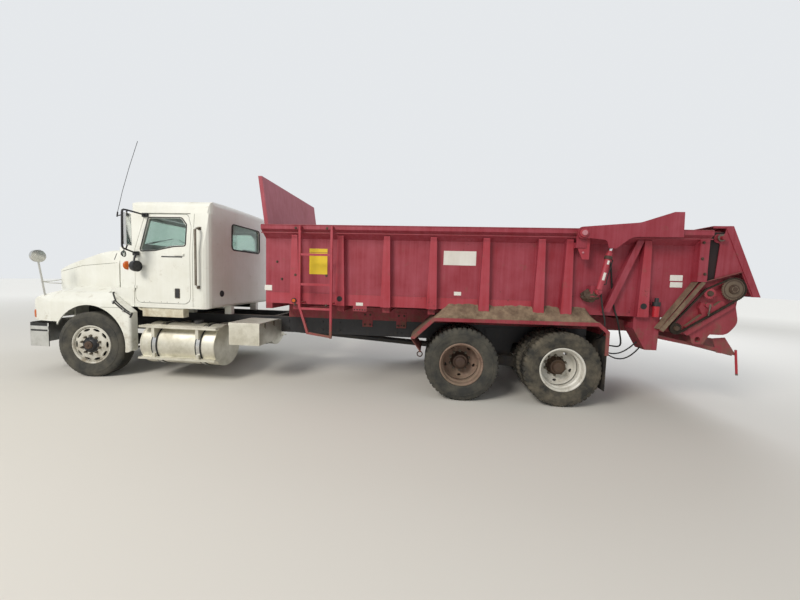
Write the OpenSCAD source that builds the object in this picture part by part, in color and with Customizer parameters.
// Truck-mounted manure spreader: a conventional-cab truck on three axles with a twenty-foot
// box spreader on its frame. X runs to the rear, Y to the truck's right side, Z up from the ground.
// The origin is on the ground, at the middle of the overall length and width.
// Most side pieces are drawn for the right side and mirrored to the left.

/* [Chassis] */
// Front axle to first drive axle
wheelbase = 5825; // [5775:25:5875]
// First to second drive axle
tandem = 1372; // [1352:4:1392]
// Front axle to the bumper's face
front_reach = 1195; // [1190:5:1215]
// Width over the frame rails
frame_w = 864; // [856:4:872]
// Height of the rails' top face above the ground
rail_top = 1000; // [990:5:1005]
// Depth of a frame rail
rail_h = 265; // [255:5:275]
// Thickness of a rail's web and flanges
rail_t = 10; // [8:1:12]
// Width of a rail's flanges
rail_flange = 85; // [80:5:90]

/* [Wheels] */
// Outer radius of every tyre
tyre_r = 522; // [515:1:525]
// Width of a tyre
tyre_w = 278; // [270:2:282]
// Radius of the seat on which a tyre sits
seat_r = 286; // [284:1:288]
// Middle of a front tyre, from the centre line
front_track = 1060; // [1055:1:1065]
// Middle of a twin wheel, from the centre line
rear_track = 905; // [900:1:910]
// Distance between the two tyres of a twin wheel
dual_gap = 340; // [330:2:346]
// How far the front wheels are turned to the left as it stands
steer_now = 6; // [0:1:8]
// Kingpin, from the centre line
kingpin_y = 875; // [870:1:880]

/* [Cab] */
// Half width of the cab at its belt line
cab_half = 1040; // [1030:5:1050]
// Thickness of the cab's walls and doors
cab_t = 50; // [40:2:55]
// Back wall of the cab, behind the front axle
cab_back = 1925; // [1905:5:1945]
// Underside of the cab
cab_bottom = 1140; // [1135:5:1150]
// Seam between the cab's body and its roof
roof_seam = 2630; // [2620:5:2640]
// Top of the roof at the centre line
roof_top = 2875; // [2860:5:2890]
// Gap round a door
door_gap = 7; // [6:1:8]

/* [Hood] */
// Wall thickness of the tilting hood
hood_t = 18; // [14:2:22]
// Radius of the front wheel arches
arch_r = 632; // [622:5:637]

/* [Box] */
// Box front, ahead of the first drive axle
box_lead = 2930; // [2920:5:2940]
// Length of the box sides up to the rear post
box_len = 6000; // [5980:10:6020]
// Half width over the side plates
box_half = 1100; // [1090:5:1110]
// Underside of the box sides
box_bottom = 1290; // [1285:5:1295]
// Top of the box's rails
box_top = 2430; // [2420:5:2440]
// Top of the floor plate
floor_top = 1450; // [1445:5:1455]
// Thickness of the box's steel plates
plate_t = 8; // [6:1:10]
// How far the top rail stands out from the side plate
rail_out = 150; // [145:5:155]
// Depth of the side posts
post_depth = 80; // [75:5:85]

/* [Rear end] */
// Reach of the beater's paddles from its axis
beater_r = 250; // [240:5:255]
// Pitch radius of the large chain sprocket
sprocket_r = 140; // [130:5:145]
// Rear post to the tip of the deflector hood
tail_reach = 730; // [726:4:750]

/* [Hidden] */
$fn = 48;

// Seating gap between neighbouring pieces, and running clearance of pins
seat_gap = 0.3;
pin_gap = 0.3;

// Stations along the truck
total_l = front_reach + wheelbase - box_lead + box_len + tail_reach;
front_x = -total_l / 2;
axle_f = front_x + front_reach;
axle_1 = axle_f + wheelbase;
axle_2 = axle_1 + tandem;
axle_z = tyre_r;
rail_y = frame_w / 2;
rail_bottom = rail_top - rail_h;
rails_x0 = axle_f - 865;
rails_x1 = axle_2 + 900;

box_x0 = axle_1 - box_lead;
box_x1 = box_x0 + box_len;
rear_x = box_x1 + tail_reach;
// The rear machinery is placed from here, and follows the end of the box
tail_x = box_x1 - 3070;
box_in = box_half - plate_t;
rail_y1 = box_half + rail_out;
rail_band = 60;

// A unit vector, and the four steps that turn a short list of corners [x, y, radius] into an outline
function unit(v) = v / norm(v);
function fillet(a, b, c, r, n) = let(
    u = unit(a - b), v = unit(c - b),
    half = acos(max(-1, min(1, u * v))) / 2,
    centre = b + unit(u + v) * r / sin(half),
    p = b + u * r / tan(half) - centre,
    q = b + v * r / tan(half) - centre,
    a0 = atan2(p[1], p[0]),
    turn = (atan2(q[1], q[0]) - a0 + 540) % 360 - 180)
    [for (i = [0:n]) centre + r * [cos(a0 + turn * i / n), sin(a0 + turn * i / n)]];
function flat(p) = [p[0], p[1]];
function outline(c, n = 5) = let(m = len(c))
    [for (i = [0:m - 1]) each (c[i][2] > 0
        ? fillet(flat(c[(i + m - 1) % m]), flat(c[i]), flat(c[(i + 1) % m]), c[i][2], n)
        : [flat(c[i])])];
// The same corners moved inwards by d, for corners listed anticlockwise
function inset(c, d) = let(m = len(c))
    [for (i = [0:m - 1]) let(
        e1 = unit(flat(c[i]) - flat(c[(i + m - 1) % m])),
        e2 = unit(flat(c[(i + 1) % m]) - flat(c[i])),
        n1 = [-e1[1], e1[0]], n2 = [-e2[1], e2[0]],
        p = flat(c[i]) + (n1 + n2) * d / (1 + n1 * n2))
        [p[0], p[1], c[i][2] > 0 ? max(c[i][2] - d, 1) : 0]];

// Extrusions of a drawing in YZ along X, and of a drawing in XZ along Y
module along_x(x0, x1) translate([x0, 0, 0]) rotate([90, 0, 90]) linear_extrude(x1 - x0) children();
module along_y(y0, y1) translate([0, y1, 0]) rotate([90, 0, 0]) linear_extrude(y1 - y0) children();
module along_z(z0, z1) translate([0, 0, z0]) linear_extrude(z1 - z0) children();
module block(x0, x1, y0, y1, z0, z1) translate([x0, y0, z0]) cube([x1 - x0, y1 - y0, z1 - z0]);
module shaft_y(x, z, y0, y1, r) translate([x, y0, z]) rotate([-90, 0, 0]) cylinder(r = r, h = y1 - y0);
module shaft_x(y, z, x0, x1, r) translate([x0, y, z]) rotate([0, 90, 0]) cylinder(r = r, h = x1 - x0);
module rod(p, q, r) {
    d = q - p;
    translate(p) rotate([0, acos(d[2] / norm(d)), atan2(d[1], d[0])]) cylinder(r = r, h = norm(d));
}
// A bent tube through a list of points, with a ball at each bend
module bent(pts, r) {
    for (i = [0:len(pts) - 2]) rod(pts[i], pts[i + 1], r);
    for (i = [1:1:len(pts) - 2]) translate(pts[i]) sphere(r = 1.5 * r, $fn = 24);
}
module both_sides() {
    children();
    mirror([0, 1, 0]) children();
}
// side = 1 draws the right side, -1 the left
module on_side(side) {
    if (side > 0) children();
    else mirror([0, 1, 0]) children();
}

// Chassis: rails of channel section, cross members, spring and suspension hangers
crossmembers = [-780, 1250, 2600, 4300, 6511, 7900];
hinge_x = axle_f - 1150;
hinge_z = 820;
hinge_pin_r = 14;
spring_x = [axle_f - 660, axle_f + 640];
spring_pin_z = 700;
bogie_x = axle_1 + tandem / 2;
bogie_z = 470;
bumper_t = 12;
module frame_rails() color("dimgray") {
    both_sides() {
        along_x(rails_x0, rails_x1) polygon([
            [rail_y - rail_flange, rail_top], [rail_y - rail_flange, rail_top - rail_t],
            [rail_y - rail_t, rail_top - rail_t], [rail_y - rail_t, rail_bottom + rail_t],
            [rail_y - rail_flange, rail_bottom + rail_t], [rail_y - rail_flange, rail_bottom],
            [rail_y, rail_bottom], [rail_y, rail_top]]);
        // Front horn that carries the bumper and the hood's hinge
        block(front_x + bumper_t, rails_x0 + 120, rail_y - rail_t, rail_y + 12, 560, 790);
        block(hinge_x - 24, hinge_x + 60, rail_y - rail_t, rail_y + 12, 780, hinge_z + 22);
        shaft_y(hinge_x, hinge_z, rail_y + 10, rail_y + 62, hinge_pin_r);
        for (x = spring_x) block(x - 45, x + 45, rail_y, rail_y + 12, spring_pin_z - 50, 880);
        along_y(rail_y, rail_y + 15) polygon(outline([[bogie_x - 260, 960, 20], [bogie_x - 110, bogie_z - 70, 40],
            [bogie_x + 110, bogie_z - 70, 40], [bogie_x + 260, 960, 20]]));
    }
    for (x = crossmembers)
        block(axle_f + x - 40, axle_f + x + 40, -rail_y + rail_t / 2, rail_y - rail_t / 2,
            rail_top - 115, rail_top - 20);
}

// Bumper: stepped chrome bands [lower z, upper z, set back]
bumper_bands = [[456, 700, 0], [700, 728, 16], [728, 785, 0], [785, 832, 16]];
bumper_half = 1180;
bumper_wrap = 480;
function bumper_plan(d) = outline([
    [front_x + bumper_wrap, -bumper_half + d, 0], [front_x + bumper_wrap, bumper_half - d, 0],
    [front_x + 75 + d, bumper_half - d, 130 - d], [front_x + d, 640, 300], [front_x + d, -640, 300],
    [front_x + 75 + d, -bumper_half + d, 130 - d]], 6);
module bumper() color("gainsboro") for (b = bumper_bands)
    along_z(b[0], b[1]) difference() {
        polygon(bumper_plan(b[2] * 0.5));
        polygon([for (p = bumper_plan(bumper_t)) [p[0] < front_x + bumper_wrap - 1 ? p[0] : p[0] + 5, p[1]]]);
    }

// Engine as one plain block between the rails, gearbox, radiator, exhaust box and drive shaft
engine_x = [axle_f - 640, axle_f + 200];
module power_unit() color("darkslategray") {
    block(engine_x[0], engine_x[1], -290, 290, 640, rail_top + 20);
    block(engine_x[0] + 60, engine_x[1], -380, 380, rail_top, 1470);
    block(engine_x[1] - 5, axle_f + 1000, -200, 200, 650, 1060);
    block(engine_x[0] - 150, engine_x[0] - 70, -400, 400, rail_top, 1480);
    block(engine_x[0] - 75, engine_x[0] + 5, -120, 120, 900, 1150);
    rod([axle_f + 990, 0, 820], [axle_1 - 435, 0, axle_z + 30], 50);
    shaft_x(0, axle_z + 30, axle_1 - 445, axle_1 - 424 - seat_gap, 62);
}

// Front axle: forged beam with kingpin eyes and its leaf springs
module front_axle() color("dimgray") {
    difference() {
        union() {
            along_x(axle_f - 48, axle_f + 48) polygon(outline([
                [-kingpin_y, 572, 0], [-kingpin_y, 470, 0], [-740, 450, 60], [-560, 372, 60], [560, 372, 60],
                [740, 450, 60], [kingpin_y, 470, 0], [kingpin_y, 572, 0], [700, 560, 60], [540, 486, 60],
                [-540, 486, 60], [-700, 560, 60]]));
            both_sides() translate([axle_f, kingpin_y, 440]) cylinder(r = 50, h = 160);
        }
        both_sides() translate([axle_f, kingpin_y, 400]) cylinder(r = 20 + pin_gap, h = 240);
        for (s = [-1, 1]) block(axle_f + (s > 0 ? 16 : -60), axle_f + (s > 0 ? 60 : -16), -530, 530, 392, 466);
    }
    both_sides() {
        along_y(rail_y - 84, rail_y - 4) polygon(outline([
            [spring_x[0] - 30, spring_pin_z + 30, 28], [spring_x[0] - 30, spring_pin_z - 30, 28],
            [axle_f - 180, 486, 120], [axle_f + 180, 486, 120],
            [spring_x[1] + 30, spring_pin_z - 30, 28], [spring_x[1] + 30, spring_pin_z + 30, 28],
            [axle_f + 150, 570, 200], [axle_f - 150, 570, 200]]));
        for (x = spring_x) shaft_y(x, spring_pin_z, rail_y - 60, rail_y, 16);
    }
}

// Steering knuckle, drawn straight ahead on the right side
hub_face = front_track - 95;
spindle_r = 40;
module knuckle() {
    translate([axle_f, kingpin_y, 400]) cylinder(r = 20, h = 240);
    for (z = [[390, 439], [601, 650]]) {
        translate([axle_f, kingpin_y, z[0]]) cylinder(r = 48, h = z[1] - z[0]);
        block(axle_f - 48, axle_f + 48, kingpin_y, hub_face, z[0], z[1]);
    }
    block(axle_f - 60, axle_f + 60, kingpin_y + 56, hub_face, 390, 650);
    shaft_y(axle_f, axle_z, hub_face - 5, hub_face + 9, 180);
    shaft_y(axle_f, axle_z, hub_face, hub_face + 150, spindle_r);
    block(axle_f, axle_f + steer_arm + 24, kingpin_y - 24, kingpin_y + 24, 390, 420);
}
steer_arm = 175;
module steered(side) translate([axle_f, side * kingpin_y, 0]) rotate([0, 0, steer_now])
    translate([-axle_f, -side * kingpin_y, 0]) on_side(side) children();
module tie_rod() color("dimgray") translate([steer_arm * cos(steer_now), steer_arm * sin(steer_now), 0]) {
    shaft_y(axle_f, 352, -kingpin_y, kingpin_y, 19);
    both_sides() translate([axle_f, kingpin_y, 330]) cylinder(r = 24, h = 60 - seat_gap);
}

// Wheels, drawn about the Z axis with the outer face up and then laid along Y
tyre_bead = 105;
flange_r = 302;
module wheel_place(x, y) translate([x, y, axle_z]) rotate([-90, 0, 0]) children();
module tyre(z) translate([0, 0, z]) rotate_extrude() polygon(outline([
    [seat_r + seat_gap, -tyre_bead, 0], [flange_r + 2, -tyre_bead, 0], [flange_r + 4, -tyre_bead - 14, 8],
    [400, -tyre_w / 2 - 2, 90], [492, -tyre_w / 2 + 6, 40], [tyre_r - 8, -tyre_w / 2 + 30, 14], [tyre_r, 0, 400],
    [tyre_r - 8, tyre_w / 2 - 30, 14], [492, tyre_w / 2 - 6, 40], [400, tyre_w / 2 + 2, 90],
    [flange_r + 4, tyre_bead + 14, 8], [flange_r + 2, tyre_bead, 0], [seat_r + seat_gap, tyre_bead, 0]], 4));
// Barrel of a rim with its two flanges
module barrel(z) translate([0, 0, z]) rotate_extrude() polygon([
    [seat_r - 14, -tyre_bead - 14], [flange_r, -tyre_bead - 14], [flange_r, -tyre_bead - seat_gap],
    [seat_r, -tyre_bead - seat_gap], [seat_r, tyre_bead + seat_gap], [flange_r, tyre_bead + seat_gap],
    [flange_r, tyre_bead + 14], [seat_r - 14, tyre_bead + 14]]);
module disc(corners) rotate_extrude() polygon(corners);
module round_holes(n, at_r, r, z0, z1) for (i = [0:n - 1]) rotate([0, 0, 360 * (i + 0.5) / n])
    translate([at_r, 0, z0]) cylinder(r = r, h = z1 - z0);
module front_wheel() {
    color("black") tyre(0);
    color("silver") difference() {
        union() {
            barrel(0);
            disc([[40, 96], [150, 96], [205, 78], [seat_r - 12, 20], [seat_r - 12, 36], [215, 94], [160, 112], [40, 112]]);
            cylinder(r = 95, h = 150);
            rotate_extrude() polygon([[90, 0], [205, 0], [205, -78], [193, -78], [193, -14], [90, -14]]);
            translate([0, 0, -60]) cylinder(r = 95, h = 62);
        }
        round_holes(10, 215, 24, 0, 130);
        translate([0, 0, -90]) cylinder(r = spindle_r + pin_gap, h = 155);
    }
}
module twin_wheel() {
    for (s = [-1, 1]) {
        color("black") tyre(s * dual_gap / 2);
        color("firebrick") difference() {
            union() {
                barrel(s * dual_gap / 2);
                mirror([0, 0, s > 0 ? 0 : 1])
                    disc([[100, 0], [200, 0], [250, 30], [seat_r - 12, 85], [seat_r - 12, 105], [238, 40], [195, 14], [100, 14]]);
            }
            round_holes(10, 232, 22, -60, 60);
        }
    }
    color("firebrick") difference() {
        union() {
            translate([0, 0, -120]) cylinder(r = 140, h = 150);
            cylinder(r = 85, h = 170);
            rotate_extrude() polygon([[130, -120], [205, -120], [205, -268], [193, -268], [193, -134], [130, -134]]);
        }
        translate([0, 0, -130]) cylinder(r = spindle_r + 10 + pin_gap, h = 200);
    }
}
module tandem_place(side, x) on_side(side) wheel_place(x, rear_track) children();

// Drive axles: tubes with spindles, differential housings, walking beams
beam_y = [rail_y + 56, rail_y + 116];
module drive_axles() color("dimgray") {
    tube_end = rear_track - dual_gap / 2 - tyre_bead;
    for (x = [axle_1, axle_2]) {
        shaft_y(x, axle_z, -tube_end, tube_end, 66);
        both_sides() shaft_y(x, axle_z, tube_end - 5, rear_track + 40, spindle_r + 10);
        shaft_x(0, axle_z, x - 130, x + 90, 195);
        shaft_x(0, axle_z + 30, x - 400, x - 100, 90);
        shaft_x(0, axle_z + 30, x - 424, x - 390, 70);
    }
    shaft_x(0, axle_z + 30, axle_1 + 80, axle_2 - 390, 45);
    both_sides() {
        along_y(beam_y[0], beam_y[1]) polygon(outline([
            [axle_1 - 75, 350, 40], [axle_1 + 75, 350, 60], [bogie_x, bogie_z - 90, 200], [axle_2 - 75, 350, 60],
            [axle_2 + 75, 350, 40], [axle_2 + 75, 475, 40], [bogie_x, bogie_z + 75, 300], [axle_1 - 75, 475, 40]]));
        shaft_y(bogie_x, bogie_z, rail_y + 15, beam_y[1] + 20, 45);
    }
}

// Cab: three outlines, whose common part is the cab's body; corners run anticlockwise
belt_z = 2030;
cab_front = 240;
function cab_side() = [[cab_front, cab_bottom, 20], [cab_back, cab_bottom, 50],
    [cab_back, roof_seam + 200, 0], [600, roof_seam + 200, 0], [452, 2102, 0], [cab_front, 2090, 40]];
function cab_plan() = [[cab_front, -870, 60], [690, -cab_half, 260], [cab_back, -cab_half, 130],
    [cab_back, cab_half, 130], [690, cab_half, 260], [cab_front, 870, 60]];
function cab_face() = [[-cab_half, cab_bottom - 100, 0], [cab_half, cab_bottom - 100, 0], [cab_half, belt_z, 300],
    [cab_half - 60, roof_seam + 10, 0], [cab_half - 80, roof_seam + 300, 0], [-cab_half + 80, roof_seam + 300, 0],
    [-cab_half + 60, roof_seam + 10, 0], [-cab_half, belt_z, 300]];
module cab_body(d) translate([axle_f, 0, 0]) intersection() {
    along_y(-2000, 2000) polygon(outline(inset(cab_side(), d)));
    along_z(0, 4000) polygon(outline(inset(cab_plan(), d)));
    along_x(-2000, 4000) polygon(outline(inset(cab_face(), d)));
}
// Door outline in side view, and the window in it, both grown by g
function door_side(g) = outline([[690 - g, 1215 - g, 110], [1622 + g, 1215 - g, 110], [1622 + g, 2420, 80],
    [1560 + g, 2606 + g, 60], [838 - g, 2606 + g, 50], [690 - g, 2020, 60]]);
function window_side(g) = outline([[795 - g, 2035 - g, 30], [1060, 2050 - g, 300], [1340, 2118 - g, 300],
    [1535 + g, 2130 - g, 30], [1535 + g, 2440, 40], [1450 + g, 2545 + g, 60], [905 - g, 2545 + g, 40]]);
module through_side(side) translate([axle_f, 0, 0])
    along_y(side > 0 ? 500 : -1500, side > 0 ? 1500 : -500) children();
rear_window = [[-430, 2130, 60], [430, 2130, 60], [430, 2545, 60], [-430, 2545, 60]];
windshield = [[-800, 2170, 60], [800, 2170, 60], [740, 2565, 60], [-740, 2565, 60]];
module below_seam() block(front_x, rear_x, -2000, 2000, 0, roof_seam);
hood_back = 225;
cowl_top = 1436;
grab_x = axle_f + 1765;
module cab_shell() color("white") {
    difference() {
        intersection() {
            cab_body(0);
            below_seam();
        }
        cab_body(cab_t);
        for (s = [-1, 1]) through_side(s) polygon(door_side(door_gap));
        along_x(axle_f + cab_back - 200, axle_f + cab_back + 50) polygon(outline(rear_window));
        along_x(axle_f, axle_f + 800) polygon(outline(windshield));
    }
    // Door hinges, the skirt between the door and the fuel tank, and a grab handle behind the door
    both_sides() {
        for (z = door_hinge_z) {
            translate([hinge_axis[0], hinge_axis[1], z - 40]) cylinder(r = 8, h = 40);
            block(hinge_axis[0] - 22, hinge_axis[0], cab_half - 25, hinge_axis[1], z - 40, z);
        }
        block(axle_f + 780, axle_f + 1480, 900, cab_half - 25, 990, cab_bottom + 1);
        // Cowl side behind the hood's rear edge, inside the hood's narrow tail
        translate([axle_f, 0, 0]) {
            along_z(cab_bottom, cowl_top) polygon([[hood_back + 8, 860], [hood_back + 28, 860],
                [hood_back + 28, 1000], [hood_back + 50, 1018], [660, cab_half - 20], [660, cab_half - 2],
                [hood_back + 40, cab_half - 4], [hood_back + 8, 1010]]);
            along_z(cowl_top - 20, cowl_top) polygon([[hood_back + 8, 860], [660, cab_half - 40],
                [660, cab_half - 2], [hood_back + 40, cab_half - 4], [hood_back + 8, 1010]]);
        }
        bent([[grab_x, cab_half - 25, 1480], [grab_x, cab_half + 60, 1500], [grab_x, cab_half + 60, 2380],
            [grab_x, cab_half - 55, 2400]], 13);
    }
    // Cab mounts down to the rails
    both_sides() {
        block(axle_f + 1080, axle_f + 1200, rail_y - 80, rail_y, rail_top, cab_bottom + 1);
        block(axle_f + 1780, axle_f + 1900, rail_y - 80, rail_y, rail_top, cab_bottom + 1);
    }
}
function roof_side() = [[640, roof_seam, 0], [cab_back, roof_seam, 0], [cab_back, roof_top - 25, 90],
    [1500, roof_top, 400], [820, roof_top - 10, 300], [480, 2755, 25], [500, 2715, 25]];
function roof_plan() = [[480, -860, 160], [650, -cab_half + 45, 200], [cab_back, -cab_half + 45, 130],
    [cab_back, cab_half - 45, 130], [650, cab_half - 45, 200], [480, 860, 160]];
function roof_face() = [[-cab_half + 60, roof_seam - 50, 0], [cab_half - 60, roof_seam - 50, 0],
    [cab_half - 95, roof_top - 55, 90], [0, roof_top, 2500], [-cab_half + 95, roof_top - 55, 90]];
module roof_body(d) translate([axle_f, 0, 0]) intersection() {
    along_y(-2000, 2000) polygon(outline(inset(roof_side(), d)));
    along_z(0, 4000) polygon(outline(inset(roof_plan(), d)));
    along_x(-2000, 4000) polygon(outline(inset(roof_face(), d)));
}
module cab_roof() color("white") difference() {
    roof_body(0);
    intersection() {
        translate([0, 0, -45]) roof_body(40);
        block(axle_f + 750, rear_x, -2000, 2000, 0, 4000);
    }
}

// Window glass, a plate set into the thickness of the wall
module wall_sheet(d, t) difference() {
    cab_body(d);
    cab_body(d + t);
}
module cab_glass() color([0.4, 0.55, 0.55, 0.5]) {
    intersection() {
        wall_sheet(18, 6);
        along_x(axle_f, axle_f + 800) polygon(outline(inset(windshield, seat_gap)));
    }
    intersection() {
        wall_sheet(18, 6);
        along_x(axle_f + cab_back - 200, axle_f + cab_back + 50) polygon(outline(inset(rear_window, seat_gap)));
    }
}
module door_glass(side) color([0.4, 0.55, 0.55, 0.5]) intersection() {
    wall_sheet(18, 6);
    through_side(side) polygon(window_side(-seat_gap));
}
hinge_axis = [axle_f + 684, cab_half + 10];
door_hinge_z = [1440, 1920];
module door(side) color("white") {
    difference() {
        intersection() {
            difference() {
                cab_body(0);
                cab_body(cab_t);
            }
            through_side(side) polygon(door_side(0));
        }
        through_side(side) polygon(window_side(0));
    }
    on_side(side) {
        // Door handle
        block(axle_f + 1370, axle_f + 1530, cab_half - 2, cab_half + 18, 1965, 1995);
        for (z = door_hinge_z) {
            translate([hinge_axis[0], hinge_axis[1], z + seat_gap]) cylinder(r = 8, h = 40);
            block(hinge_axis[0] + 2, hinge_axis[0] + 36, cab_half - 20, hinge_axis[1], z + seat_gap, z + 40);
        }
    }
}

// Mirror on a tube loop carried by the door, with a whip aerial on the left one
mirror_y = cab_half + 330;
mirror_x = axle_f + 940;
module mirror_arm() {
    bent([[axle_f + 880, cab_half - 90, 2576], [mirror_x, mirror_y, 2650], [mirror_x, mirror_y, 2010],
        [axle_f + 770, cab_half + 60, 1840]], 13);
    block(axle_f + 740, axle_f + 800, cab_half - 20, cab_half + 80, 1800, 1880);
    block(mirror_x - 45, mirror_x + 5, mirror_y - 85, mirror_y + 85, 2090, 2590);
}
module door_mirror(side) color("gray") difference() {
    on_side(side) {
        mirror_arm();
        if (side < 0) rod([mirror_x, mirror_y, 2600], [mirror_x + 190, mirror_y, 3560], 4);
    }
    cab_body(-seat_gap);
}

// Cab interior: dashboard, steering wheel and two seats
module cab_interior() color("dimgray") {
    floor_z = cab_bottom + cab_t;
    x0 = axle_f + cab_front + cab_t;
    block(x0 + seat_gap, x0 + 420, -740, 740, 1560, 1980);
    block(x0 + 40, x0 + 200, -180, 180, floor_z, 1570);
    for (y = [-480, 480]) {
        block(axle_f + 1180, axle_f + 1600, y - 180, y + 180, floor_z, 1540);
        along_y(y - 240, y + 240) polygon(outline([[axle_f + 1120, 1500, 30], [axle_f + 1680, 1500, 40],
            [axle_f + 1800, 2160, 40], [axle_f + 1690, 2190, 40], [axle_f + 1600, 1640, 60],
            [axle_f + 1120, 1640, 60]]));
    }
    // Steering wheel on its column
    translate([axle_f + 960, -480, 1960]) rotate([0, 60, 0]) {
        rotate_extrude() translate([215, 0]) circle(r = 16, $fn = 24);
        translate([0, 0, -24]) cylinder(r = 50, h = 40);
        translate([0, 0, -320]) cylinder(r = 26, h = 310);
        for (a = [0, 120, 240]) rotate([0, 0, a]) translate([35, -14, -6]) cube([172, 28, 12]);
    }
}

// Hood: a main body and the two fenders, each the common part of three outlines
nose = -1155;
function hood_side(e) = [[nose + 25, 1120 - e, 0], [hood_back + e, 1120 - e, 0], [hood_back + e, 2088, 0],
    [-150, 1985, 400], [-820, 1790, 500], [nose + 45, 1670, 70]];
function hood_plan(e) = [[nose, -690, 170], [-700, -765, 400], [hood_back + e, -862, 0],
    [hood_back + e, 862, 0], [-700, 765, 400], [nose, 690, 170]];
function hood_face(e) = [[-866, 1100 - e, 0], [866, 1100 - e, 0], [866, 1780, 250], [810, 2042, 90],
    [0, 2092, 1800], [-810, 2042, 90], [-866, 1780, 250]];
module hood_main(d, e) translate([axle_f, 0, 0]) intersection() {
    along_y(-2000, 2000) polygon(outline(inset(hood_side(e), d)));
    along_z(0, 4000) polygon(outline(inset(hood_plan(e), d)));
    along_x(-2000, 4000) polygon(outline(inset(hood_face(e), d)));
}
fender_back = 718;
fender_front_z = 872;
fender_back_z = 430;
tail_y = cab_half + 6;
function fender_side(e) = [[-1118, fender_front_z - e, 0], [-560, fender_front_z - e, 0],
    [-560, fender_back_z - e, 0], [fender_back, fender_back_z - e, e > 0 ? 0 : 60],
    [fender_back, 1065, 30], [hood_back, 1425, 60], [150, 1440, 200], [-420, 1440, 400], [-900, 1270, 300],
    [-1128, 1120, 90]];
function fender_plan(e) = [[-1130, -e, 0], [fender_back, -e, 0], [fender_back, 1180, 40], [-700, 1180, 300],
    [-1060, 1120, 140], [-1130, 900, 200]];
function fender_face(e) = [[-e, 300, 0], [1180, 300, 0], [1180, 1215, 110], [1060, 1345, 160], [860, 1440, 0],
    [-e, 1600, 0]];
// The part behind the hood's own rear edge is only a narrow tail outside the cab
module fender(d, e) translate([axle_f, 0, 0]) intersection() {
    along_y(-e, 2000) polygon(outline(inset(fender_side(e), d)));
    along_z(0, 4000) polygon(outline(inset(fender_plan(e), d)));
    along_x(-2000, 4000) polygon(outline(inset(fender_face(e), d)));
    union() {
        block(-1300, hood_back, -e, 1300, fender_front_z - e, 1800);
        block(-1300, 1300, tail_y + d, 1300, 0, 1800);
    }
}
grille_box = [620, 1180, 1600];
module hood() color("white") {
    difference() {
        union() {
            hood_main(0, 0);
            both_sides() fender(0, 0);
        }
        hood_main(hood_t, 200);
        both_sides() fender(hood_t, 200);
        block(axle_f - 1300, axle_f - 1000, -450, 450, 1200, 1590);
        both_sides() shaft_y(axle_f, axle_z, 700, 1400, arch_r);
    }
    both_sides() difference() {
        union() {
            along_y(rail_y + 25, rail_y + 45) translate([hinge_x, hinge_z]) polygon([[-6, -23], [18, -20],
                [70, 52], [70, 190], [38, 190], [38, 60], [16, 22], [-8, 23]]);
            shaft_y(hinge_x, hinge_z, rail_y + 25, rail_y + 45, 24);
        }
        shaft_y(hinge_x, hinge_z, rail_y, rail_y + 80, hinge_pin_r + pin_gap);
    }
}
module grille() color("dimgray") {
    for (z = [1225:60:1570]) block(axle_f - 1140, axle_f - 1110, -450 + seat_gap, 450 - seat_gap, z, z + 22);
    for (y = [-450 + seat_gap, -12, 426]) block(axle_f - 1135, axle_f - 1112, y, y + 24 - seat_gap, 1200.3, 1589.7);
}
module head_lamps() color("orange") both_sides() difference() {
    block(axle_f - 1144, axle_f - 1060, 700, 1010, 930, 1060);
    fender(-seat_gap, 0);
}
module hood_mirrors() color("silver") both_sides() difference() {
    union() {
        rod([axle_f - 825, 1110, 1200], [axle_f - 825, 1190, 1830], 12);
        translate([axle_f - 825, 1195, 1900]) rotate([0, 90, 0]) cylinder(r = 95, h = 40, center = true);
    }
    fender(-seat_gap, 0);
}

// Fuel tanks with straps and steps, both sides
tank_r = 330;
tank_y = 850;
tank_z = 560;
tank_x = [axle_f + 880, axle_f + 2105];
module fuel_tanks() color("silver") both_sides() {
    shaft_x(tank_y, tank_z, tank_x[0], tank_x[1], tank_r);
    for (x = [tank_x[0] + 210, tank_x[1] - 290]) {
        shaft_x(tank_y, tank_z, x, x + 60, tank_r + 6);
        block(x, x + 60, rail_y, tank_y, 760, 860);
        block(x, x + 60, rail_y, tank_y - 150, 400, 860);
    }
    block(tank_x[0] + 20, tank_x[1] + 60, 1060, 1215, 862, 876);
    block(tank_x[0] + 20, tank_x[1] + 60, 1205, 1215, 845, 876);
    block(tank_x[0], tank_x[1] + 30, 1060, 1215, 372, 386);
    block(tank_x[0], tank_x[1] + 30, 1205, 1215, 355, 386);
    for (x = [tank_x[0] + 215, tank_x[1] - 285]) {
        block(x, x + 50, 1040, 1200, 700, 865);
        block(x, x + 50, 1040, 1200, 380, 450);
    }
}
module side_boxes() color("silver") both_sides() {
    block(axle_f + 2330, axle_f + 2815, 520, 1150, 630, 962);
    block(axle_f + 2330, axle_f + 2380, rail_y, 530, 650, 950);
    block(axle_f + 2765, axle_f + 2815, rail_y, 530, 650, 950);
}

// Spreader subframe: two long sills on the rails and cross sills under the posts
posts = [-2455, -1773, -1103, -445, 277, 1010, 1371, tail_x - axle_1 + 2348];
sill_z = 1208;
module subframe() color("darkred") {
    both_sides() block(box_x0 + 60, tail_x + 2772, rail_y - 75, rail_y + 5, rail_top, sill_z + 5);
    for (p = posts) block(axle_1 + p - 50, axle_1 + p + 50, -box_half, box_half, sill_z, box_bottom);
    block(box_x0, box_x0 + 100, -box_half, box_half, sill_z, box_bottom);
}

skirt_x = tail_x + 2280;
skirt_z = 842;
filter_x = tail_x + 2515;
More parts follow.
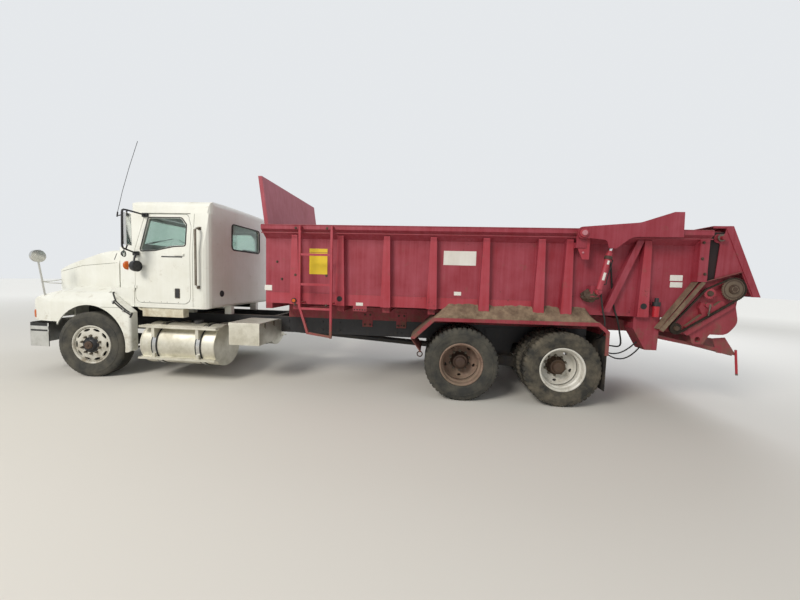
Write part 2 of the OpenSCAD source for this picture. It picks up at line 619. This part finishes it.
// Box side: plate, flare and top rail in one section, cut to the side view, with tapered posts
module box_side(side) color("firebrick") on_side(side) {
    intersection() {
        along_x(box_x0, box_x1) difference() {
            polygon([[box_in, box_bottom], [box_half, box_bottom], [box_half, box_top - rail_band - 120],
                [rail_y1, box_top - rail_band], [rail_y1, box_top], [box_in, box_top]]);
            polygon([[box_half, box_top - rail_band - 108], [rail_y1 - plate_t, box_top - rail_band + 2],
                [rail_y1 - plate_t, box_top - plate_t], [box_half, box_top - plate_t]]);
        }
        along_y(0, 2000) polygon([[box_x0, 0], [tail_x + 2672, 0], [tail_x + 2672, box_bottom],
            [box_x1, 1820], [box_x1, 4000], [box_x0, 4000]]);
    }
    for (p = posts) along_y(box_half - 1, box_half + post_depth) polygon([
        [axle_1 + p - 72, box_bottom], [axle_1 + p + 72, box_bottom], [axle_1 + p + 44, 2300],
        [axle_1 + p - 44, 2300]]);
    // Slanted brace from the last post down to the cylinder's foot
    along_y(box_half - 1, box_half + post_depth) polygon([[tail_x + 1845, 1343], [tail_x + 1930, 1343],
        [tail_x + 2300, 2300], [tail_x + 2215, 2300]]);
    // Skirt plate below the last post, with its front edge bent inward
    along_y(box_half, box_half + plate_t) polygon([[skirt_x, box_bottom + 1], [tail_x + 2612, box_bottom + 1],
        [tail_x + 2600, skirt_z], [skirt_x + 168, skirt_z], [skirt_x, 1130]]);
    along_y(box_half - 200, box_half + plate_t) polygon([[skirt_x, 1208], [skirt_x, 1130],
        [skirt_x + 168, skirt_z], [skirt_x + 177, skirt_z], [skirt_x + plate_t, 1132], [skirt_x + plate_t, 1208]]);
    // Hydraulic filter on the left side
    if (side < 0) {
        translate([filter_x, box_half + 62, 1300]) cylinder(r = 37, h = 150);
        translate([filter_x, box_half + 62, 1449]) cylinder(r = 44, h = 46);
        translate([filter_x, box_half + 62, 1494]) cylinder(r = 20, h = 60);
        block(filter_x - 40, filter_x + 40, box_half - 1, box_half + 40, 1455, 1490);
    }
    // Rear post and the sloped flange below it
    block(box_x1 - 110, box_x1, box_half - 1, box_half + 100, 1780, 2340);
    along_y(box_half - 1, box_half + 90) polygon([[tail_x + 2560, 1135], [tail_x + 2610, 1105],
        [box_x1, 1760], [box_x1, 1850]]);
    // Cylinder foot and gate pivot pin
    block(tail_x + 1640, tail_x + 1790, box_half - 1, cyl_y - 42, 1540, 1690);
    shaft_y(foot_x, foot_z, box_half, cyl_y + 40, 20);
    block(pivot_x - 60, pivot_x + 60, box_half - 1, rail_y1 + 5, 2180, 2250);
    block(pivot_x - 60, pivot_x + 60, rail_y1 + seat_gap, rail_y1 + 20, 2180, pivot_z + 60);
    shaft_y(pivot_x, pivot_z, rail_y1 + 5, arm_y + 30, 32);
}
module box_front() color("firebrick") {
    block(box_x0, box_x0 + plate_t, -box_in + seat_gap, box_in - seat_gap, box_bottom, box_top);
    for (y = [-600, 0, 600]) block(box_x0 - 60, box_x0 + 1, y - 50, y + 50, box_bottom, box_top - 60);
}
module box_floor() color("firebrick")
    block(box_x0 + 190, tail_x + 3120, -frame_y[0] + seat_gap, frame_y[0] - seat_gap, floor_top - 10, floor_top);

// Apron: two endless chains with slats, and the shafts that carry them
chain_ri = 57;
chain_ro = 82;
apron_z = floor_top + seat_gap - chain_ri;
apron_x = [box_x0 + 110, tail_x + 3200];
apron_shaft_r = 32;
slat_pitch = 400;
module stadium(r) union() {
    translate([apron_x[0], apron_z]) circle(r = r);
    translate([apron_x[1], apron_z]) circle(r = r);
    translate([apron_x[0], apron_z - r]) square([apron_x[1] - apron_x[0], 2 * r]);
}
module apron() color("saddlebrown") {
    for (y = [-620, 620]) along_y(y - 22, y + 22) difference() {
        stadium(chain_ro);
        stadium(chain_ri);
    }
    for (x = [apron_x[0] + 60:slat_pitch:apron_x[1] - 60]) {
        block(x - 30, x + 30, -1010, 1010, apron_z + chain_ri, apron_z + chain_ro + 20);
        block(x - 30, x + 30, -1010, 1010, apron_z - chain_ro - 20, apron_z - chain_ri);
    }
    for (x = apron_x) {
        shaft_y(x, apron_z, -box_in + 2, box_in - 2, apron_shaft_r);
        for (y = [-620, 620]) shaft_y(x, apron_z, y - 18, y + 18, chain_ri + 1);
    }
}

// Cab shield on the box front, leaning forward, with side flanges
module cab_shield() color("firebrick") {
    lean = outline([[box_x0 - 40, box_top + seat_gap, 0], [box_x0 + 20, box_top + seat_gap, 0],
        [box_x0 - 85, 3170, 0], [box_x0 - 145, 3170, 0]]);
    along_y(-1060, 1060) polygon([[box_x0 + 12, box_top + seat_gap], [box_x0 + 20, box_top + seat_gap],
        [box_x0 - 85, 3170], [box_x0 - 93, 3170]]);
    for (y = [-1060, 1052]) along_y(y, y + 8) polygon(lean);
    for (y = [-400, 400]) along_y(y - 40, y + 40) polygon(lean);
}

// Ladder on the left side, its lower end bent to the rear
ladder_y = rail_y1 + 40;
ladder_x = [axle_1 - 2320, axle_1 - 1860];
module ladder() color("firebrick") mirror([0, 1, 0]) {
    block(ladder_x[0] - 16, ladder_x[0] + 16, ladder_y, ladder_y + 30, 1270, 2350);
    along_y(ladder_y, ladder_y + 30) polygon([[ladder_x[0] - 16, 1275], [ladder_x[0] + 110, 880],
        [ladder_x[0] + 144, 880], [ladder_x[0] + 16, 1275]]);
    block(ladder_x[1] - 16, ladder_x[1] + 16, ladder_y, ladder_y + 30, 830, 2350);
    for (z = [2010, 1590, 1245]) block(ladder_x[0], ladder_x[1], ladder_y + 5, ladder_y + 25, z - 16, z + 16);
    along_y(ladder_y + 5, ladder_y + 25) polygon([[ladder_x[0] + 110, 880], [ladder_x[1], 835],
        [ladder_x[1], 867], [ladder_x[0] + 110, 912]]);
    for (x = ladder_x) block(x - 12, x + 12, rail_y1 + seat_gap, ladder_y + 2, 2385, 2410);
    for (x = ladder_x) block(x - 12, x + 12, ladder_y, ladder_y + 30, 2340, 2410);
    for (x = ladder_x) block(x - 8, x + 8, box_half + seat_gap, ladder_y + 2, 1310, 1335);
}

// Rear fenders over the drive wheels, with brackets to the box
module rear_fenders() color("firebrick") both_sides() {
    top = [[-725, 880], [-415, 1180], [1795, 1200], [1925, 1080], [1925, 760], [1913, 760], [1913, 1075],
        [1788, 1188], [-408, 1168], [-712, 870], [-575, 690], [-585, 682]];
    translate([axle_1, 0, 0]) along_y(620, 1235) polygon(top);
    translate([axle_1, 0, 0]) along_y(1223, 1235) polygon([[-725, 880], [-415, 1180], [1795, 1200], [1925, 1080],
        [1925, 760], [1880, 760], [1880, 1060], [1775, 1150], [-395, 1130], [-670, 865]]);
    for (p = [277, 1010, 1371])
        block(axle_1 + p - 20, axle_1 + p + 20, 640, 1060, 1180, sill_z - seat_gap);
}

// Rubber mud flaps behind the drive wheels
module mud_flaps() color("black") both_sides()
    block(axle_1 + 1913 - 10, axle_1 + 1913 - seat_gap, 640, 1220, 270, 1010);

// Rear frame: inner side plates that carry the beater, the lower housing and the tail flap
flap_y = 992;
beater_x = tail_x + 3437;
beater_z = 1696;
hood_pin_x = tail_x + 3246;
hood_pin_z = 2354;
frame_y = [box_in - 12 - seat_gap, box_in - seat_gap];
module rear_frame() color("darkred") {
    both_sides() {
        difference() {
            along_y(frame_y[0], frame_y[1]) polygon(outline([
                [tail_x + 2600, 1120, 0], [tail_x + 3020, 1060, 40], [tail_x + 3040, 950, 40], [tail_x + 3180, 950, 40],
                [tail_x + 3250, 1085, 20], [tail_x + 3460, 1085, 150], [tail_x + 3585, 1250, 150],
                [tail_x + 3540, 1460, 60], [tail_x + 3570, 1800, 90], [tail_x + 3346, 1900, 60],
                [tail_x + 3346, 2440, 90], [tail_x + 3146, 2440, 90], [tail_x + 3060, 2330, 0],
                [tail_x + 2960, 2330, 0], [tail_x + 2960, 1850, 0]]));
            shaft_y(beater_x, beater_z, 500, 1500, 40 + pin_gap);
            shaft_y(tail_x + 3109, 1011, frame_y[1] - 50, 1500, 35);
            shaft_y(apron_x[1], apron_z, 500, 1500, apron_shaft_r + pin_gap);
            for (p = [[drive_x, drive_z], [idler_x, idler_z]]) shaft_y(p[0], p[1], 500, 1500, 25 + pin_gap);
        }
        shaft_y(hood_pin_x, hood_pin_z, frame_y[1] - 2, box_half + 90, 30);
    }
    difference() {
        along_y(-frame_y[0] - 1, frame_y[0] + 1) polygon([[tail_x + 3050, 960], [tail_x + 3170, 960],
            [tail_x + 3170, 1060], [tail_x + 3050, 1060]]);
        both_sides() shaft_y(tail_x + 3109, 1011, frame_y[1] - 50, 1500, 35);
    }
    // Tail flap between its end plates, and the long sill strips below
    along_y(-flap_y, flap_y) polygon([[tail_x + 3165, 1030], [tail_x + 3380, 1020], [tail_x + 3640, 800],
        [tail_x + 3632, 792], [tail_x + 3376, 1010], [tail_x + 3165, 1018]]);
    both_sides() {
        along_y(flap_y - 1, flap_y + plate_t) polygon([[tail_x + 3366, 1022], [tail_x + 3522, 1040],
            [tail_x + 3683, 802], [tail_x + 3436, 828]]);
        along_y(flap_y - 7, flap_y + plate_t) polygon([[tail_x + 2640, 1036], [tail_x + 3450, 894],
            [tail_x + 3450, 850], [tail_x + 2640, 992]]);
    }
    both_sides() block(tail_x + 2772 + seat_gap, tail_x + 3060, rail_y - 75, rail_y + 5, 1000, 1060);
    // Left side only: guard strip below the chain, the arm inside its loop with the tensioner, a hanging rod
    mirror([0, 1, 0]) {
        along_y(frame_y[1] - 1, chain_y[0] - 12) {
            polygon([[tail_x + 2890, 1108], [tail_x + 3478, 1516], [tail_x + 3495, 1468], [tail_x + 2948, 1066]]);
            polygon(outline([[tail_x + 2905, 1180, 20], [tail_x + 2940, 1135, 20], [tail_x + 3395, 1487, 30],
                [tail_x + 3330, 1545, 30]]));
            polygon([[tail_x + 3060, 1440], [tail_x + 3110, 1340], [tail_x + 3235, 1462], [tail_x + 3215, 1505],
                [tail_x + 3085, 1510]]);
        }
        shaft_y(tail_x + 3150, 1480, chain_y[0] - 13, chain_y[1], 32);
        rod([tail_x + 3661, flap_y + plate_t + 11, 880], [tail_x + 3703, flap_y + plate_t + 11, 536], 12);
    }
}

// Deflector hood on two pins: side plates, slanted panel and top cover
module deflector_hood() color("firebrick") {
    both_sides() difference() {
        union() {
            along_y(box_half, box_half + plate_t) polygon(outline([
                [tail_x + 3238, 1822, 0], [tail_x + 3545, 1925, 0], [tail_x + 3700, 1600, 0], [rear_x, 1600, 0],
                [tail_x + 3400, 2510, 0], [tail_x + 3330, 2510, 0], [tail_x + 3310, 2400, 30],
                [tail_x + 3195, 2410, 40], [tail_x + 3185, 2300, 40], [tail_x + 3265, 2290, 30]]));
            // Wide flange down the rear edge
            along_y(box_half, box_half + plate_t + 8) polygon([[tail_x + 3330, 2510], [tail_x + 3400, 2510],
                [rear_x, 1600], [rear_x - 85, 1600], [tail_x + 3318, 2475]]);
            along_y(box_half, box_half + 35) polygon([[tail_x + 3100, 1768], [tail_x + 3545, 1915],
                [tail_x + 3541, 1927], [tail_x + 3096, 1780]]);
        }
        shaft_y(hood_pin_x, hood_pin_z, 500, 1500, 30 + pin_gap);
    }
    along_y(-box_half, box_half) polygon([[rear_x - 9, 1600], [rear_x, 1600], [tail_x + 3400, 2510],
        [tail_x + 3391, 2510]]);
    block(tail_x + 3166, tail_x + 3396, -box_half, box_half, 2502, 2510);
    both_sides() block(tail_x + 3166, tail_x + 3396, box_half - 1, box_half + plate_t, 2480, 2510);
}

// End gate hung from two side arms, which turn on the box side pins
pivot_x = tail_x + 1472;
pivot_z = 2364;
arm_y = rail_y1 + 60;
gate_x = tail_x + 2560;
eye_x = tail_x + 1840;
eye_z = 2215;
module gate() color("firebrick") {
    both_sides() difference() {
        translate([tail_x, 0, 0]) along_y(arm_y, arm_y + 12) polygon(outline([
            [1400, 2290, 60], [1560, 2300, 60], [1760, 2280, 60], [1790, 2175, 25], [1880, 2175, 25],
            [2060, 2325, 200], [2665, 2330, 0], [2655, 2640, 0], [2540, 2640, 0], [2150, 2505, 300],
            [1400, 2440, 60]]));
        shaft_y(pivot_x, pivot_z, 1000, 2000, 32 + pin_gap);
    }
    block(gate_x - 60, gate_x + 60, -arm_y - 1, arm_y + 1, box_top + 22, box_top + 170);
    block(gate_x - 30, gate_x + 30, -1040, 1040, 1505, box_top + 30);
}

// Gate cylinders: barrel on a foot pin, rod with its eye beside the arm
cyl_y = arm_y - 26;
foot_x = tail_x + 1716;
foot_z = 1612;
cyl_len = norm([eye_x - foot_x, eye_z - foot_z]);
cyl_lean = atan2(eye_x - foot_x, eye_z - foot_z);
module cyl_place() translate([foot_x, cyl_y, foot_z]) rotate([0, cyl_lean, 0]) children();
module cylinder_barrel() difference() {
    union() {
        cyl_place() translate([0, 0, 30]) cylinder(r = 36, h = cyl_len - 130);
        shaft_y(foot_x, foot_z, cyl_y - 22, cyl_y + 22, 38);
    }
    shaft_y(foot_x, foot_z, 1000, 2000, 20 + pin_gap);
    cyl_place() translate([0, 0, 60]) cylinder(r = 20 + pin_gap, h = cyl_len);
}
module cylinder_rod() {
    cyl_place() translate([0, 0, 70]) cylinder(r = 20, h = cyl_len - 80);
    shaft_y(eye_x, eye_z, cyl_y - 22, arm_y - seat_gap, 32);
}

// Beater rotor with staggered paddles, its shaft and large sprocket; two small sprockets
chain_y = [box_half + 48, box_half + 58];
function teeth(n, r) = [for (i = [0:n - 1], k = [[-0.3, -9], [-0.16, 4], [0.16, 4], [0.3, -9]])
    (r + k[1]) * [cos(360 * (i + k[0]) / n), sin(360 * (i + k[0]) / n)]];
module sprocket(x, z, n, r) translate([x, 0, z]) along_y(chain_y[0], chain_y[1]) polygon(teeth(n, r));
paddle_rows = 10;
module beater() color("dimgray") {
    shaft_y(beater_x, beater_z, -chain_y[1] - 20, box_half + 40, 40);
    shaft_y(beater_x, beater_z, -frame_y[0] + 10, frame_y[0] - 10, 100);
    for (i = [0:paddle_rows - 1]) translate([beater_x, -930 + i * 1860 / (paddle_rows - 1), beater_z])
        rotate([0, i * 36, 0]) for (a = [0, 120, 240]) rotate([0, a, 0])
            translate([-25, -8, 90]) cube([50, 16, beater_r - 90]);
    mirror([0, 1, 0]) {
        sprocket(beater_x, beater_z, 36, sprocket_r);
        shaft_y(beater_x, beater_z, box_half - 5, chain_y[1] + 15, 55);
    }
}
drive_x = tail_x + 2787;
drive_z = 1159;
idler_x = tail_x + 3159;
idler_z = 1632;
small_r = 70;
module drive_sprocket() color("dimgray") mirror([0, 1, 0]) {
    sprocket(drive_x, drive_z, 18, small_r);
    shaft_y(drive_x, drive_z, frame_y[0] - 20, chain_y[1] + 15, 25);
}
module idler_sprocket() color("firebrick") mirror([0, 1, 0]) {
    sprocket(idler_x, idler_z, 18, small_r);
    shaft_y(idler_x, idler_z, frame_y[0] - 20, chain_y[1] + 15, 25);
}
// The chain runs round three sprockets, listed anticlockwise as [x, z, radius]; the normal of each strand
// points out of the loop
wheels = [[drive_x, drive_z, small_r], [beater_x, beater_z, sprocket_r], [idler_x, idler_z, small_r]];
function strand_normal(a, b) = let(d = flat(b) - flat(a)) atan2(d[1], d[0]) - acos((a[2] - b[2]) / norm(d));
function loop(g, n = 12) = [for (i = [0:2]) let(
    c = wheels[i],
    a0 = strand_normal(wheels[(i + 2) % 3], c),
    a1 = strand_normal(c, wheels[(i + 1) % 3]),
    turn = (a1 - a0 + 720) % 360)
    for (k = [0:n]) flat(c) + (c[2] + g) * [cos(a0 + turn * k / n), sin(a0 + turn * k / n)]];
roller_pitch = 49;
module drive_chain() color("dimgray") mirror([0, 1, 0]) {
    for (y = [[chain_y[0] - 5, chain_y[0] - 0.5], [chain_y[1] + 0.5, chain_y[1] + 5]])
        along_y(y[0], y[1]) difference() {
            polygon(loop(8));
            polygon(loop(-8));
        }
    // Rollers on the straight strands, clear of the sprockets' teeth
    for (i = [0:2]) let(
        a = wheels[i], b = wheels[(i + 1) % 3],
        n = strand_normal(a, b),
        p = flat(a) + a[2] * [cos(n), sin(n)], q = flat(b) + b[2] * [cos(n), sin(n)],
        run = norm(q - p), u = unit(q - p))
        for (t = [80:roller_pitch:run - 80]) shaft_y(p[0] + t * u[0], p[1] + t * u[1],
            chain_y[0] - 1, chain_y[1] + 1, 7, $fn = 16);
}

// Marker lamps on the box posts
module marker_lamps() color("orange") both_sides()
    for (p = [posts[0]]) shaft_y(axle_1 + p, 1345, box_half + post_depth + seat_gap, box_half + post_depth + 18, 26);

frame_rails();
bumper();
power_unit();
front_axle();
drive_axles();
color("dimgray") steered(-1) knuckle();  // knuckle_left
color("dimgray") steered(1) knuckle();  // knuckle_right
tie_rod();
steered(-1) wheel_place(axle_f, front_track) front_wheel();  // front_wheel_left
steered(1) wheel_place(axle_f, front_track) front_wheel();  // front_wheel_right
tandem_place(-1, axle_1) twin_wheel();  // twin_wheel_left_1
tandem_place(1, axle_1) twin_wheel();  // twin_wheel_right_1
tandem_place(-1, axle_2) twin_wheel();  // twin_wheel_left_2
tandem_place(1, axle_2) twin_wheel();  // twin_wheel_right_2
cab_shell();
cab_roof();
cab_glass();
cab_interior();
door(-1);  // door_left
door(1);  // door_right
door_glass(-1);  // door_glass_left
door_glass(1);  // door_glass_right
door_mirror(-1);  // mirror_left
door_mirror(1);  // mirror_right
hood();
grille();
head_lamps();
hood_mirrors();
fuel_tanks();
side_boxes();
subframe();
box_side(-1);  // box_side_left
box_side(1);  // box_side_right
box_front();
box_floor();
apron();
cab_shield();
ladder();
rear_fenders();
mud_flaps();
rear_frame();
deflector_hood();
gate();
color("firebrick") on_side(-1) cylinder_barrel();  // cylinder_left
color("firebrick") on_side(1) cylinder_barrel();  // cylinder_right
color("silver") on_side(-1) cylinder_rod();  // rod_left
color("silver") on_side(1) cylinder_rod();  // rod_right
beater();
drive_sprocket();
idler_sprocket();
drive_chain();
marker_lamps();
